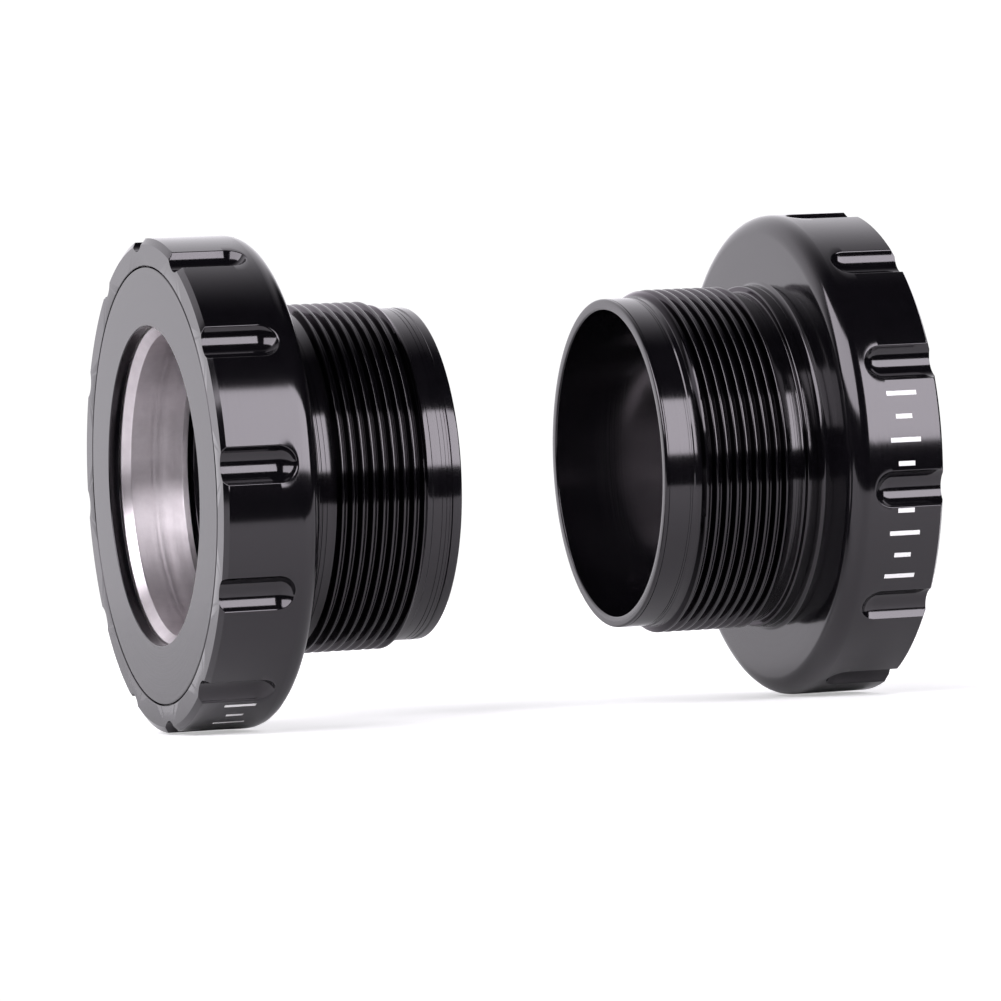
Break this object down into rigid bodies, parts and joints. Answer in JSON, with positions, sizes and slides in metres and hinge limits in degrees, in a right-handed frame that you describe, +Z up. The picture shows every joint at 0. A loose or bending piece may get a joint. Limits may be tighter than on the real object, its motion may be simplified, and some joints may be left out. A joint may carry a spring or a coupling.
{
  "type": "bottom bracket",
  "caption": "Two-cup threaded bottom bracket: notched flanges and threaded barrels hold sealed ball bearings outside the shell for a 30 mm spindle.",
  "frame": {"origin": "on the spindle's axis, half way between the two cups' outer faces as they stand at rest", "axes": "+X along the spindle's axis from the drive-side cup to the non-drive-side cup, +Z up, +Y to the back"},
  "size_m": [0.0746, 0.049, 0.049],
  "materials": {
    "anodised_black": "gloss black anodised",
    "cover_black": "satin black anodised, turned",
    "bearing_steel": "ground",
    "ball_steel": "polished",
    "seal_rubber": "matt",
    "cage_nylon": "moulded"
  },
  "bodies": {
    "drive_side_cup": {"drive_cup": "anodised_black", "drive_dust_cover": "cover_black", "drive_outer_race": "bearing_steel", "drive_outer_seal": "seal_rubber", "drive_inner_seal": "seal_rubber"},
    "drive_side_inner_race": {"drive_inner_race": "bearing_steel"},
    "drive_side_balls": {"drive_ball_cage": "cage_nylon", "drive_ball_01": "ball_steel", "drive_ball_02": "ball_steel", "drive_ball_03": "ball_steel", "drive_ball_04": "ball_steel", "drive_ball_05": "ball_steel", "drive_ball_06": "ball_steel", "drive_ball_07": "ball_steel", "drive_ball_08": "ball_steel", "drive_ball_09": "ball_steel", "drive_ball_10": "ball_steel", "drive_ball_11": "ball_steel", "drive_ball_12": "ball_steel", "drive_ball_13": "ball_steel", "drive_ball_14": "ball_steel", "drive_ball_15": "ball_steel", "drive_ball_16": "ball_steel", "drive_ball_17": "ball_steel", "drive_ball_18": "ball_steel", "drive_ball_19": "ball_steel", "drive_ball_20": "ball_steel"},
    "nondrive_side_cup": {"nondrive_cup": "anodised_black", "nondrive_dust_cover": "cover_black", "nondrive_outer_race": "bearing_steel", "nondrive_outer_seal": "seal_rubber", "nondrive_inner_seal": "seal_rubber"},
    "nondrive_side_inner_race": {"nondrive_inner_race": "bearing_steel"},
    "nondrive_side_balls": {"nondrive_ball_cage": "cage_nylon", "nondrive_ball_01": "ball_steel", "nondrive_ball_02": "ball_steel", "nondrive_ball_03": "ball_steel", "nondrive_ball_04": "ball_steel", "nondrive_ball_05": "ball_steel", "nondrive_ball_06": "ball_steel", "nondrive_ball_07": "ball_steel", "nondrive_ball_08": "ball_steel", "nondrive_ball_09": "ball_steel", "nondrive_ball_10": "ball_steel", "nondrive_ball_11": "ball_steel", "nondrive_ball_12": "ball_steel", "nondrive_ball_13": "ball_steel", "nondrive_ball_14": "ball_steel", "nondrive_ball_15": "ball_steel", "nondrive_ball_16": "ball_steel", "nondrive_ball_17": "ball_steel", "nondrive_ball_18": "ball_steel", "nondrive_ball_19": "ball_steel", "nondrive_ball_20": "ball_steel"}
  },
  "joints": [
    {"name": "drive_bearing_spin", "type": "hinge", "parent": "drive_side_cup", "child": "drive_side_inner_race", "pos_m": [-0.0325, 0, 0], "axis": [1, 0, 0], "continuous": true},
    {"name": "drive_ball_orbit", "type": "hinge", "parent": "drive_side_cup", "child": "drive_side_balls", "pos_m": [-0.0325, 0, 0], "axis": [1, 0, 0], "continuous": true},
    {"name": "nondrive_cup_travel", "type": "slide", "parent": "drive_side_cup", "child": "nondrive_side_cup", "axis": [1, 0, 0], "range_m": [0, 0.0182]},
    {"name": "nondrive_bearing_spin", "type": "hinge", "parent": "nondrive_side_cup", "child": "nondrive_side_inner_race", "pos_m": [0.0325, 0, 0], "axis": [1, 0, 0], "continuous": true},
    {"name": "nondrive_ball_orbit", "type": "hinge", "parent": "nondrive_side_cup", "child": "nondrive_side_balls", "pos_m": [0.0325, 0, 0], "axis": [1, 0, 0], "continuous": true}
  ],
  "couplings": [
    {"joint": "drive_ball_orbit", "follows": "drive_bearing_spin", "ratio": 0.4559},
    {"joint": "nondrive_ball_orbit", "follows": "nondrive_bearing_spin", "ratio": 0.4559}
  ]
}
